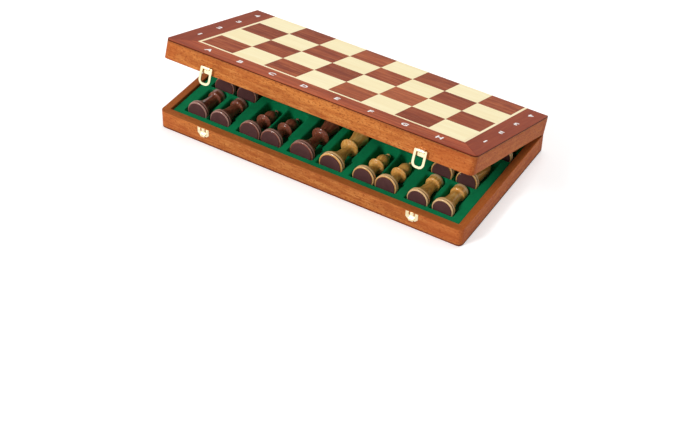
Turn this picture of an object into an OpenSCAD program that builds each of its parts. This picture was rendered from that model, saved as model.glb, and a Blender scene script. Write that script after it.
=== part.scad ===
// Folding chess case with a hinged lid.
// Two shallow trays open like a book. Their outer faces carry the two halves of the board,
// so the opened case turned over is the playing surface. The lower tray holds a flocked
// insert with a nest for every one of the 32 men.
// Millimetres. Origin: centre of the underside. X along the hinge, front at -Y, up is +Z.

/* [Board] */
// Side of one square of the board
square = 40; // [34:0.5:48]
// Width of the lettered border
border_w = 25; // [22:0.5:32]
// Width of the pale stringing between border and squares
inlay_w = 3; // [1.5:0.5:4]
// Thickness of the veneer on the outer faces
veneer_t = 0.8; // [0.6:0.1:1.2]

/* [Case] */
// Height of one closed half
half_h = 22; // [21:0.5:28]
// Thickness of the solid rails
rail_t = 8.5; // [8.5:0.25:10]
// Thickness of the plywood core under the veneer
core_t = 2.2; // [2:0.1:3]
// Radius of the rounded front corners in plan
corner_r = 6; // [2:0.5:7]
// Gap left between the two rims when the lid is shut
meet_gap = 0.3; // [0.2:0.05:0.6]

/* [Lid] */
// Angle the lid stands open, 0 is shut
lid_open = 20; // [12:1:60]
// Thickness of the lining glued under the lid
lining_t = 0.6; // [0.4:0.1:1]

/* [Hinges] */
// Length of a hinge
hinge_l = 36; // [30:1:44]
// Distance of a hinge from the end of the case
hinge_end = 2; // [1:1:50]
// Radius of the hinge pin
pin_r = 1.1; // [0.9:0.1:1.3]
// Outside radius of the rolled knuckles
knuckle_r = 2.6; // [2.3:0.1:2.8]
// Thickness of the hinge leaves
leaf_t = 1; // [0.8:0.1:1.2]

/* [Catches] */
// Distance of a catch from the middle of the case
catch_x = 130; // [90:1:150]
// Outside width of the swinging loop
loop_w = 14.5; // [14:0.5:19]
// Length of the loop below its pivot
loop_l = 19; // [18.5:0.25:20.5]
// Thickness of the loop and width of its strap
loop_t = 1; // [0.8:0.1:1.2]
strap_w = 2.6; // [2:0.1:3]
// How far the loop stands off the front before it is pushed under the hook
loop_lean = 1.5; // [1.5:0.1:6]

/* [Men and insert] */
// Size of the men against the usual fit for the square
men_scale = 1; // [0.85:0.01:1.01]
// How far the flocked face lies below the rim
insert_drop = 2.5; // [1:0.25:4]
// How far the axes of the lying men are below the flocked face
men_sink = 0.2; // [0:0.1:1.5]
// Free space round each man in its nest
nest_gap = 0.8; // [0.6:0.1:1]
// Thickness of the felt under each man
felt_t = 0.8; // [0.5:0.1:1]

/* [Hidden] */
$fn = 64;
e = 0.01;

half_w = 8*square + 2*(border_w + inlay_w);
half_d = 4*square + border_w + inlay_w;
wx = half_w/2;
dy = half_d/2;
ix = wx - rail_t;
iy = dy - rail_t;

core_z = veneer_t + core_t;
rim_z = half_h - meet_gap/2;
joint_line = 0.05;

// hinge axis: in the plane of the rims, just behind the back face
hy = dy + 0.15;
hz = half_h;
leaf_w = 7.2;
bore_r = pin_r + 0.08;
knuckle_n = 5;
knuckle_gap = 0.3;
seg_l = hinge_l/knuckle_n;
hinge_fit = 0.2;
hinge_x = wx - hinge_end - hinge_l/2;
screw_r = 0.8;
screw_head_r = 1.7;
screw_l = 7;
screw_fit = 0.1;
screw_dx = hinge_l*0.3;
screw_y = hy - 5;

// catches: all distances from the front face of the case
off = 3.1;
pivot_z = half_h + 7.5;
bar_r = 0.85;
barrel_r = 1.7;
barrel_bore = bar_r + 0.09;
window_w = loop_w - 2*strap_w;
barrel_l = window_w - 0.6;
plate_t = 0.8;
plate_low = half_h + 0.6;
loop_corner = 6;
bar_z = pivot_z - loop_l;
slot = loop_t + 0.3;
hook_t = 0.6;
tongue_t = 0.7;
shelf_z = bar_z + strap_w + 0.3;
tongue_w = 5.4;
hook_w = 14.5;
nail_r = 0.7;
nail_head_r = 1.4;
nail_head_t = 0.5;
nail_l = 5.5;
nail_fit = 0.1;
plate_nail_dx = 2.6;
plate_nail_z = half_h + 3.4;
hook_nail_dx = 4.9;
hook_nail_z = shelf_z + 4.9;
hook_top = hook_nail_z + 2.8;
hook_low = bar_z + 0.2;

// men: one factor for the whole set, tied to the square
k = square*men_scale/40;
seat_gap = 0.3;
king_r = 14.5*k;
insert_fit = 0.3;
insert_z = rim_z - insert_drop;
axis_z = max(insert_z - men_sink, core_z + 0.9 + seat_gap + king_r);

king = [[0,0],[13.6,0],[14.5,1.6],[14.5,4.2],[13.9,7.2],[11.4,9.6],[11.4,10.6],[10.2,11.8],
    [8.4,15],[6.6,20],[5.4,27],[5.2,33],[6.2,37.2],[9.6,38.4],[10.7,40.2],[10,42.2],[7.6,43.6],
    [7,45.4],[7.2,47],[8.2,55],[9.6,62],[9.8,64],[9,65.8],[5.2,68.2],[3,69.2],[3.2,70.2],
    [4.9,71.8],[5.6,74],[4.8,76.4],[2.8,77.8],[0,78]];
queen = [[0,0],[13.4,0],[14.3,1.6],[14.3,4.1],[13.7,7],[11.2,9.3],[11.2,10.3],[9.6,11.8],
    [7.8,15],[6.2,20],[5.2,26],[5.2,30],[6.4,32.4],[9.4,33.4],[10.3,35],[9.6,36.9],[7.2,38],
    [6.4,40],[6.2,43],[6.8,49],[8.6,56],[9.8,60],[9.9,61.8],[9,62.8],[6,63.2],[3.4,63.8],
    [2.6,64.4],[2.7,65.4],[2,66.6],[0,67]];
bishop = [[0,0],[12.2,0],[13,1.5],[13,3.8],[12.4,6.4],[9.8,8.6],[9.8,9.6],[8.4,11],[6.6,15],
    [5.2,20],[4.8,24],[5.6,27],[8.4,28],[9.2,29.4],[8.6,31],[5.6,32],[5,33.4],[5.6,35.4],
    [7,39.6],[7.2,42.2],[6.2,46.6],[4,51],[2,53.2],[1.8,54],[2.7,55.2],[2.7,56.6],
    [1.6,57.8],[0,58]];
rook = [[0,0],[11.7,0],[12.5,1.5],[12.5,3.8],[11.9,6.2],[10.2,8],[10.2,9],[9,10.2],[7.9,14],
    [6.9,20],[6.3,27],[6.2,31],[7,33.2],[8.6,34.4],[8.7,42.2],[8.2,43],[6.4,43],[6.4,40.6],
    [0,40.6]];
pawn = [[0,0],[10.3,0],[11,1.3],[11,3.4],[10.4,5.8],[8.6,7.6],[8.4,8.6],[6.8,11],[5,16],
    [4.2,21],[4.2,24],[5,26.2],[6.6,27],[7.1,28],[6.4,29.2],[4.2,29.8],[3.9,30.8],[5,33],
    [6,35.2],[6.2,36.8],[5.8,39.2],[4.2,41.4],[2.2,42.6],[0,43]];
knight_foot = [[0,0],[12,0],[12.75,1.5],[12.75,3.8],[12.1,6.2],[10.4,8],[10.4,9],[9.8,10.4],
    [9.4,12],[0,12]];
knight_side = [[-8.6,11],[8.4,11],[8.9,16],[7.4,22],[4.8,27],[3.2,30.5],[4.6,33.2],[8.6,34.6],
    [11.2,36.8],[11.6,40.2],[9.6,42.6],[6.2,46.6],[3.4,49.6],[2.2,52],[-0.6,50.4],[-4.4,48.2],
    [-7.6,43.6],[-9.2,36],[-9.4,28],[-9,20]];
knight_front = [[-6.6,11],[6.6,11],[6.2,20],[4.8,34],[3.6,53],[-3.6,53],[-4.8,34],[-6.2,20]];

// kind: length, base radius, height of widest base point, height and radius of second rest
dims = [["king",78,14.5,4.2,64,9.8],["queen",67,14.3,4.1,61.8,9.9],["bishop",58,13,3.8,42.2,7.2],
    ["knight",52,12.75,3.8,52,3.6],["rook",43,12.5,3.8,42.2,8.7],["pawn",43,11,3.4,36.8,6.2]];
function row(kind) = dims[search([kind], dims)[0]];
// widest radius above the foot, for the nest
nest_r = [["king",10.7],["queen",10.3],["bishop",9.2],["knight",12],["rook",8.7],["pawn",7.1]];
function neck(kind) = nest_r[search([kind], nest_r)[0]][1]*k;
function tilt(kind) = let (d = row(kind)) atan((d[2] - d[5])/(d[4] - d[3]));
function nest_l(kind) = let (d = row(kind), t = tilt(kind))
    d[1]*k*cos(t) + (d[2] + d[5])*k*sin(t);
function floor_z(kind) = let (d = row(kind), t = tilt(kind))
    axis_z - seat_gap - d[3]*k*sin(t) - d[2]*k*cos(t);

// columns from the middle outwards and rows from the front strip of the insert
col = [0.46, 1.448, 2.13, 3.095, 3.835];
spare = 2*(iy - insert_fit) - 111*k - nest_l("pawn") - felt_t - nest_gap;
front_y = -iy + insert_fit + spare*0.835;
second_y = front_y + 52*k;
queen_y = front_y + 93*k;
rear_y = front_y + 111*k;
queen_x = 2.68*square;
pawn_pitch = (ix - insert_fit - 2.4)/8;

// men of one side: kind, column or foot position, row and turn
function front(s) = [["king", s*col[0]*square, front_y, 0],
    ["bishop", s*col[1]*square, front_y, 0], ["bishop", s*col[2]*square, front_y, 0],
    ["rook", s*col[3]*square, front_y, 0], ["rook", s*col[4]*square, front_y, 0]];
function behind(s) = [["knight", s*col[3]*square, second_y, 0],
    ["knight", s*col[4]*square, second_y, 0], ["queen", s*queen_x, queen_y, s*90]];
// the rear row lies head to foot; the two sides start opposite ways round
function pawns(s, back) = [for (i = [0:7]) if (((i + (s > 0 ? 1 : 0)) % 2 == 1) == back)
    ["pawn", s*(i + 0.5)*pawn_pitch, back ? rear_y + nest_l("pawn") + felt_t : rear_y,
    back ? 180 : 0]];
function side(s) = concat(front(s), behind(s), pawns(s, false), pawns(s, true));

walnut = [0.26, 0.11, 0.05];
honey = [0.82, 0.58, 0.26];
brass = [0.86, 0.72, 0.38];
green = [0.02, 0.30, 0.13];
mahogany = [0.36, 0.12, 0.07];
maple = [0.93, 0.86, 0.68];
rail_wood = [0.62, 0.31, 0.13];
felt_c = [0.16, 0.08, 0.09];

// Frames

// lid pieces are drawn as if the case were shut, then swung about the hinge pins
module on_lid() {
    translate([0, hy, hz]) rotate([-lid_open, 0, 0]) translate([0, -hy, -hz]) children();
}

// turns a piece drawn for the lower half into its twin in the lid
module upper() {
    on_lid() translate([0, 0, 2*half_h]) mirror([0, 0, 1]) children();
}

// Case halves, drawn for the lower half

module outline(r = corner_r) {
    translate([-wx, -dy + r]) square([half_w, half_d - r]);
    translate([-wx + r, -dy]) square([half_w - 2*r, r + 1]);
    for (s = [-1, 1]) translate([s*(wx - r), -dy + r]) circle(r = r);
}

module core() {
    translate([0, 0, veneer_t]) linear_extrude(core_t) outline();
}

// the lettered frame: three strips mitred at the front corners, open at the hinge side
module border_strips() {
    b = border_w;
    linear_extrude(veneer_t) {
        intersection() {
            outline();
            polygon([[-wx, -dy], [wx, -dy], [wx - b, -dy + b], [-wx + b, -dy + b]]);
        }
    }
    for (s = [-1, 1]) linear_extrude(veneer_t)
        intersection() {
            outline();
            polygon([[s*wx, -dy + joint_line], [s*wx, dy], [s*(wx - b), dy],
                [s*(wx - b), -dy + b + joint_line]]);
        }
}

module stringing_strips() {
    a = wx - border_w;
    c = -dy + border_w;
    i = inlay_w;
    g = joint_line;
    linear_extrude(veneer_t) {
        polygon([[-a + g, c + g], [a - g, c + g], [a - i, c + i], [-a + i, c + i]]);
        for (s = [-1, 1]) polygon([[s*(a - g), c + 2*g], [s*(a - g), dy], [s*(a - i), dy],
            [s*(a - i), c + i + g]]);
    }
}

// squares of one wood: parity 0 starts with the front left corner square
module squares(parity) {
    s = square - 2*joint_line;
    linear_extrude(veneer_t)
        for (i = [0:7], j = [0:3]) if ((i + j + parity) % 2 == 0)
            translate([(i - 4)*square + joint_line, dy - (4 - j)*square + joint_line])
                square([s, s]);
}

module front_back(back) {
    z0 = core_z;
    h = rim_z - core_z;
    translate([0, 0, z0]) linear_extrude(h) intersection() {
        outline();
        translate([-wx, back ? dy - rail_t : -dy]) square([half_w, rail_t]);
    }
}

module side_rail(s) {
    translate([s > 0 ? ix : -wx, -iy, core_z]) cube([rail_t, 2*iy, rim_z - core_z]);
}

// room for the hinges in the back rail
module back_rail() {
    difference() {
        front_back(true);
        for (s = [-1, 1]) translate([s*hinge_x, 0, 0]) {
            translate([-hinge_l/2 - hinge_fit, hy - leaf_w - hinge_fit, rim_z - leaf_t])
                cube([hinge_l + 2*hinge_fit, leaf_w + 1, leaf_t + 1]);
            translate([-hinge_l/2 - 0.6, hy, hz]) rotate([0, 90, 0])
                cylinder(r = knuckle_r + 0.3, h = hinge_l + 1.2);
            for (d = [-1, 1]) translate([d*screw_dx, screw_y, rim_z - screw_l - 0.3])
                cylinder(r = screw_r + screw_fit, h = screw_l + 2);
        }
    }
}

// pilot holes for nails in a front rail
module front_rail(dx, z) {
    difference() {
        front_back(false);
        for (s = [-1, 1], d = [-1, 1]) translate([s*catch_x + d*dx, -dy - 1, z])
            rotate([-90, 0, 0]) cylinder(r = nail_r + nail_fit, h = nail_l + 1.3);
    }
}

// Hinges: two leaves let into the rims, knuckles rolled round one pin

module leaf(first) {
    difference() {
        union() {
            translate([-hinge_l/2, hy - leaf_w, rim_z - leaf_t])
                cube([hinge_l, leaf_w - knuckle_r - 0.3, leaf_t]);
            for (i = [first:2:knuckle_n - 1])
                translate([-hinge_l/2 + i*seg_l + knuckle_gap/2, 0, 0]) {
                    translate([0, hy - knuckle_r - 0.4, rim_z - leaf_t])
                        cube([seg_l - knuckle_gap, knuckle_r + 0.4, leaf_t]);
                    translate([0, hy, hz]) rotate([0, 90, 0])
                        cylinder(r = knuckle_r, h = seg_l - knuckle_gap);
                }
        }
        translate([-hinge_l/2 - 1, hy, hz]) rotate([0, 90, 0])
            cylinder(r = bore_r, h = hinge_l + 2);
        for (d = [-1, 1]) translate([d*screw_dx, screw_y, rim_z - leaf_t])
            translate([0, 0, -e]) cylinder(r1 = screw_r + screw_fit,
                r2 = screw_head_r + screw_fit, h = leaf_t + 2*e);
    }
}

module pin() {
    translate([-hinge_l/2 - 0.3, hy, hz]) rotate([0, 90, 0])
        cylinder(r = pin_r, h = hinge_l + 0.6);
}

module screw() {
    translate([0, 0, -leaf_t]) cylinder(r1 = screw_r, r2 = screw_head_r, h = leaf_t);
    translate([0, 0, -screw_l]) cylinder(r = screw_r, h = screw_l - leaf_t + e);
}

module hinge_screws() {
    for (s = [-1, 1], d = [-1, 1])
        translate([s*hinge_x + d*screw_dx, screw_y, rim_z]) screw();
}

// Catches

module nail(t) {
    translate([0, -dy - t, 0]) rotate([-90, 0, 0]) cylinder(r = nail_r, h = nail_l + t);
    translate([0, -dy - t - nail_head_t, 0]) rotate([-90, 0, 0])
        cylinder(r = nail_head_r, h = nail_head_t);
}

// sheet on the lid front, its top edge rolled forward round the bar of the loop
module catch_plate() {
    difference() {
        union() {
            translate([-barrel_l/2, -dy - plate_t, plate_low])
                cube([barrel_l, plate_t, pivot_z + barrel_r - plate_low]);
            translate([-barrel_l/2, -dy - off, pivot_z]) rotate([0, 90, 0])
                cylinder(r = barrel_r, h = barrel_l);
            translate([-barrel_l/2, -dy - off, pivot_z + barrel_r - 0.55])
                cube([barrel_l, off, 0.55]);
        }
        translate([-loop_w, -dy - off, pivot_z]) rotate([0, 90, 0])
            cylinder(r = barrel_bore, h = 2*loop_w);
        for (d = [-1, 1]) translate([d*plate_nail_dx, -dy - 2, plate_nail_z])
            rotate([-90, 0, 0]) cylinder(r = nail_r + nail_fit, h = 3);
    }
}

module loop_outline(w, c, top) {
    translate([-w/2, c]) square([w, top - c]);
    translate([-w/2 + c, 0]) square([w - 2*c, c + 1]);
    for (s = [-1, 1]) translate([s*(w/2 - c), c]) circle(r = c);
}

// stamped U with a round bar across the top, pivot at the origin, hanging along -Z
module loop_flat() {
    rotate([90, 0, 0]) translate([0, -loop_l, -loop_t/2]) linear_extrude(loop_t)
        difference() {
            union() {
                loop_outline(loop_w, loop_corner, loop_l);
                for (s = [-1, 1]) translate([s*(loop_w - strap_w)/2, loop_l])
                    circle(r = strap_w/2);
            }
            translate([0, strap_w]) loop_outline(window_w, loop_corner - strap_w, loop_l + 9);
        }
    translate([-window_w/2 - 0.5, 0, 0]) rotate([0, 90, 0])
        cylinder(r = bar_r, h = window_w + 1);
}

module catch_loop() {
    translate([0, -dy - off, pivot_z]) rotate([-loop_lean, 0, 0]) loop_flat();
}

// sheet on the base front with a tongue bent out and down over the loop
module catch_hook() {
    reach = hook_t + slot + tongue_t;
    difference() {
        union() {
            translate([-hook_w/2, -dy - hook_t, hook_low])
                cube([hook_w, hook_t, hook_top - hook_low]);
            translate([-tongue_w/2, -dy - reach, shelf_z])
                cube([tongue_w, reach, tongue_t]);
            translate([-tongue_w/2, -dy - reach, shelf_z - 2.3])
                cube([tongue_w, tongue_t, 2.3 + tongue_t]);
        }
        for (d = [-1, 1]) translate([d*hook_nail_dx, -dy - 2, hook_nail_z])
            rotate([-90, 0, 0]) cylinder(r = nail_r + nail_fit, h = 3);
    }
}

// Men: turned from the profiles above, lying on their sides with the heads dropped

module turned(p) {
    rotate_extrude() polygon([for (q = p) [q[0]*k, q[1]*k]]);
}

module rook_body() {
    difference() {
        turned(rook);
        for (a = [0, 60, 120]) rotate([0, 0, a])
            translate([-10*k, -1.3*k, 40.9*k]) cube([20*k, 2.6*k, 3*k]);
    }
}

module knight_body(s) {
    turned(knight_foot);
    mirror([s > 0 ? 1 : 0, 0, 0]) intersection() {
        rotate([90, 0, 0]) linear_extrude(20*k, center = true)
            polygon([for (q = knight_side) [q[0]*k, q[1]*k]]);
        rotate([90, 0, 90]) linear_extrude(40*k, center = true)
            polygon([for (q = knight_front) [q[0]*k, q[1]*k]]);
    }
}

module man(kind, s) {
    if (kind == "king") turned(king);
    if (kind == "queen") turned(queen);
    if (kind == "bishop") turned(bishop);
    if (kind == "knight") knight_body(s);
    if (kind == "rook") rook_body();
    if (kind == "pawn") turned(pawn);
}

// puts a standing man into its nest: foot at the start of its place, head dropped
module lay(m) {
    t = tilt(m[0]);
    translate([m[1], m[2], 0]) rotate([0, 0, m[3]])
        translate([0, felt_t + row(m[0])[2]*k*sin(t), axis_z])
            rotate([-(90 + t), 0, 0]) children();
}

module one(m, s) {
    color(s < 0 ? walnut : honey) lay(m) man(m[0], s);
}

module several(list, s) {
    for (m = list) one(m, s);
}

module men_felts(s) {
    color(felt_c) for (m = side(s)) lay(m) translate([0, 0, -felt_t])
        cylinder(r = row(m[0])[2]*k*0.88, h = felt_t);
}

// Insert

// plan of one nest: wide at the foot, drawn in to clear the widest ring above it
module nest(m) {
    d = row(m[0]);
    a = d[2]*k + nest_gap;
    b = neck(m[0]) + nest_gap + 0.4;
    l = nest_l(m[0]);
    f = 0.2*l + 3;
    translate([m[1], m[2], floor_z(m[0])]) rotate([0, 0, m[3]]) linear_extrude(half_h)
        polygon([[-a, -nest_gap], [a, -nest_gap], [a, f], [b, f + (a - b)*1.3], [b, l - 2],
            [b*0.7, l + felt_t + nest_gap], [-b*0.7, l + felt_t + nest_gap], [-b, l - 2],
            [-b, f + (a - b)*1.3], [-a, f]]);
}

module insert() {
    difference() {
        translate([-ix + insert_fit, -iy + insert_fit, core_z])
            cube([2*(ix - insert_fit), 2*(iy - insert_fit), insert_z - core_z]);
        for (s = [-1, 1], m = side(s)) nest(m);
    }
}

module lining() {
    g = 0.5;
    translate([-ix + g, -iy + g, core_z]) cube([2*(ix - g), 2*(iy - g), lining_t]);
}

// Named pieces

module base_panel() { color(mahogany) core(); }
module base_border() { color(mahogany) border_strips(); }
module base_stringing() { color(maple) stringing_strips(); }
module base_dark_squares() { color(mahogany) squares(1); }
module base_light_squares() { color(maple) squares(0); }
module base_front_rail() { color(rail_wood) front_rail(hook_nail_dx, hook_nail_z); }
module base_back_rail() { color(rail_wood) back_rail(); }
module base_left_rail() { color(rail_wood) side_rail(-1); }
module base_right_rail() { color(rail_wood) side_rail(1); }
module insert_tray() { color(green) insert(); }
module lid_panel() { color(mahogany) upper() core(); }
module lid_border() { color(mahogany) upper() border_strips(); }
module lid_stringing() { color(maple) upper() stringing_strips(); }
module lid_dark_squares() { color(mahogany) upper() squares(0); }
module lid_light_squares() { color(maple) upper() squares(1); }
module lid_front_rail() {
    color(rail_wood) upper() front_rail(plate_nail_dx, 2*half_h - plate_nail_z);
}
module lid_back_rail() { color(rail_wood) upper() back_rail(); }
module lid_left_rail() { color(rail_wood) upper() side_rail(-1); }
module lid_right_rail() { color(rail_wood) upper() side_rail(1); }
module lid_lining() { color(green) upper() lining(); }
module lower_leaf(s) { color(brass) translate([s*hinge_x, 0, 0]) leaf(0); }
module upper_leaf(s) { color(brass) upper() translate([s*hinge_x, 0, 0]) leaf(1); }
module hinge_pin(s) { color(brass) translate([s*hinge_x, 0, 0]) pin(); }
module base_hinge_screws() { color(brass) hinge_screws(); }
module lid_hinge_screws() { color(brass) upper() hinge_screws(); }
module plate(s) { color(brass) on_lid() translate([s*catch_x, 0, 0]) catch_plate(); }
module loop(s) { color(brass) on_lid() translate([s*catch_x, 0, 0]) catch_loop(); }
module hook(s) { color(brass) translate([s*catch_x, 0, 0]) catch_hook(); }
module plate_nails() {
    color(brass) on_lid() for (s = [-1, 1], d = [-1, 1])
        translate([s*catch_x + d*plate_nail_dx, 0, plate_nail_z]) nail(plate_t);
}
module hook_nails() {
    color(brass) for (s = [-1, 1], d = [-1, 1])
        translate([s*catch_x + d*hook_nail_dx, 0, hook_nail_z]) nail(hook_t);
}

base_panel();
base_border();
base_stringing();
base_dark_squares();
base_light_squares();
base_front_rail();
base_back_rail();
base_left_rail();
base_right_rail();
insert_tray();  // insert
lid_panel();
lid_border();
lid_stringing();
lid_dark_squares();
lid_light_squares();
lid_front_rail();
lid_back_rail();
lid_left_rail();
lid_right_rail();
lid_lining();
lower_leaf(-1);  // hinge_left_lower_leaf
upper_leaf(-1);  // hinge_left_upper_leaf
hinge_pin(-1);  // hinge_left_pin
lower_leaf(1);  // hinge_right_lower_leaf
upper_leaf(1);  // hinge_right_upper_leaf
hinge_pin(1);  // hinge_right_pin
base_hinge_screws();
lid_hinge_screws();
plate(-1);  // catch_left_plate
plate(1);  // catch_right_plate
loop(-1);  // catch_left_loop
loop(1);  // catch_right_loop
hook(-1);  // catch_left_hook
hook(1);  // catch_right_hook
plate_nails();
hook_nails();
one(front(-1)[0], -1);  // dark_king
one(behind(-1)[2], -1);  // dark_queen
one(front(-1)[2], -1);  // dark_bishop_outer
one(front(-1)[1], -1);  // dark_bishop_inner
one(behind(-1)[1], -1);  // dark_knight_outer
one(behind(-1)[0], -1);  // dark_knight_inner
one(front(-1)[4], -1);  // dark_rook_outer
one(front(-1)[3], -1);  // dark_rook_inner
several(pawns(-1, true), -1);  // dark_pawns_feet_back
several(pawns(-1, false), -1);  // dark_pawns_feet_front
men_felts(-1);  // dark_men_felts
one(front(1)[0], 1);  // light_king
one(behind(1)[2], 1);  // light_queen
one(front(1)[2], 1);  // light_bishop_outer
one(front(1)[1], 1);  // light_bishop_inner
one(behind(1)[1], 1);  // light_knight_outer
one(behind(1)[0], 1);  // light_knight_inner
one(front(1)[4], 1);  // light_rook_outer
one(front(1)[3], 1);  // light_rook_inner
several(pawns(1, true), 1);  // light_pawns_feet_back
several(pawns(1, false), 1);  // light_pawns_feet_front
men_felts(1);  // light_men_felts
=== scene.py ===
"""Looks of a folding chess case with its men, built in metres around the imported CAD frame.

The case is two veneered trays hinged like a book. The lower one holds a flocked tray with the
men, the upper one is the lid. Each class below is one sub-assembly of the real object: it holds
its own sizes, models its pieces, dresses them and hangs them on the body that carries them.
"""

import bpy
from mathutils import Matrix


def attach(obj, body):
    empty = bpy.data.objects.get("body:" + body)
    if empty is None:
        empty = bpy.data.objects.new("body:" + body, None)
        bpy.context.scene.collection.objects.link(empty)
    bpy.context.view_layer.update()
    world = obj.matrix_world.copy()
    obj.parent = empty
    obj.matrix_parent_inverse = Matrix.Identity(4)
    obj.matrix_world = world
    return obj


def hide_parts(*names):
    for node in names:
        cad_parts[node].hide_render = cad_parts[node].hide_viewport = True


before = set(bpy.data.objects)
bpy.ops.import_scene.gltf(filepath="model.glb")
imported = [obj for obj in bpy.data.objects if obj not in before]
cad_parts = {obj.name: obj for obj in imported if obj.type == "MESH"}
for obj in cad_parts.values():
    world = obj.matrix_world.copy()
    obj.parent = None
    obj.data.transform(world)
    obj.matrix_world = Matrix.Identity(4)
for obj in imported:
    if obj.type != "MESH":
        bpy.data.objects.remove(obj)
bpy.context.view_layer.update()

import logging
import math
from dataclasses import dataclass, field
from enum import Enum
from typing import Callable, Iterator, Optional, Sequence, Union

import bpy
import numpy as np
from mathutils import Matrix, Vector

log = logging.getLogger("chess_case")

MM = 0.001
Colour = tuple[float, float, float]


@dataclass(frozen=True)
class CaseSizes:
    """Sizes of the closed case in millimetres, as the CAD source has them.

    Heights run up from the underside of the lower half, Y runs from the catches to the hinges.
    """

    square: float = 40.0
    border: float = 25.0
    stringing: float = 3.0
    half_height: float = 22.0
    rail: float = 8.5
    half_width: float = 188.0
    half_depth: float = 94.0
    hinge_y: float = 94.15
    hinge_z: float = 22.0
    lid_open: float = 20.0
    insert_top: float = 19.35
    insert_bottom: float = 3.0
    insert_gap: float = 0.3
    men_axis: float = 19.15
    nest_gap: float = 0.8
    felt: float = 0.8

    @property
    def inner_x(self) -> float:
        """Where the inner faces of the side rails are, in metres."""
        return (self.half_width - self.rail) * MM

    @property
    def inner_y(self) -> float:
        """Where the inner faces of the front and back rails are, in metres."""
        return (self.half_depth - self.rail) * MM

    def lid_matrix(self) -> Matrix:
        """Returns the turn that opens a piece drawn for the shut lid, in metres."""
        hinge = Vector((0.0, self.hinge_y * MM, self.hinge_z * MM))
        turn = Matrix.Rotation(math.radians(-self.lid_open), 4, "X")
        return Matrix.Translation(hinge) @ turn @ Matrix.Translation(-hinge)


CASE = CaseSizes()


class Body(Enum):
    """The bodies of the frame that carry the pieces."""

    BASE = "base"
    LID = "lid"
    LEFT_LOOP = "catch_left_loop"
    RIGHT_LOOP = "catch_right_loop"


class Grain(Enum):
    """The direction in which the fibres of a wooden piece run."""

    ALONG_X = 0
    ALONG_Y = 1
    ALONG_Z = 2


# Shader building


def operator(operation: str, swapped: bool = False) -> Callable[..., "Wire"]:
    """Makes a method of Wire that adds one Math node.

    Args:
        operation: the node's operation.
        swapped: whether the other value comes first.

    Returns:
        The method.
    """

    def work(wire: "Wire", other: object = 0.0) -> "Wire":
        a, b = (other, wire) if swapped else (wire, other)
        node = wire.paint.node("Math", {"operation": operation}, {0: a, 1: b})
        return Wire(wire.paint, node.outputs[0])

    return work


class Wire:
    """One output of a node, on which shader maths is written as plain expressions."""

    def __init__(self, paint: "Paint", socket: bpy.types.NodeSocket) -> None:
        """Wraps a socket.

        Args:
            paint: the material under construction.
            socket: the node output.
        """
        self.paint = paint
        self.socket = socket

    __add__ = __radd__ = operator("ADD")
    __sub__ = operator("SUBTRACT")
    __rsub__ = operator("SUBTRACT", True)
    __mul__ = __rmul__ = operator("MULTIPLY")
    __truediv__ = operator("DIVIDE")
    __pow__ = operator("POWER")
    floor = operator("FLOOR")
    size = operator("ABSOLUTE")
    sine = operator("SINE")

    def ramp(self, low: float, high: float) -> "Wire":
        """Rises smoothly from 0 at low to 1 at high.

        Args:
            low: where it starts.
            high: where it ends.

        Returns:
            A mask from 0 to 1.
        """
        node = self.paint.node(
            "MapRange", {"interpolation_type": "SMOOTHSTEP"}, {0: self, 1: low, 2: high}
        )
        return Wire(self.paint, node.outputs[0])


Value = Union[float, Sequence[float], Wire]


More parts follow.
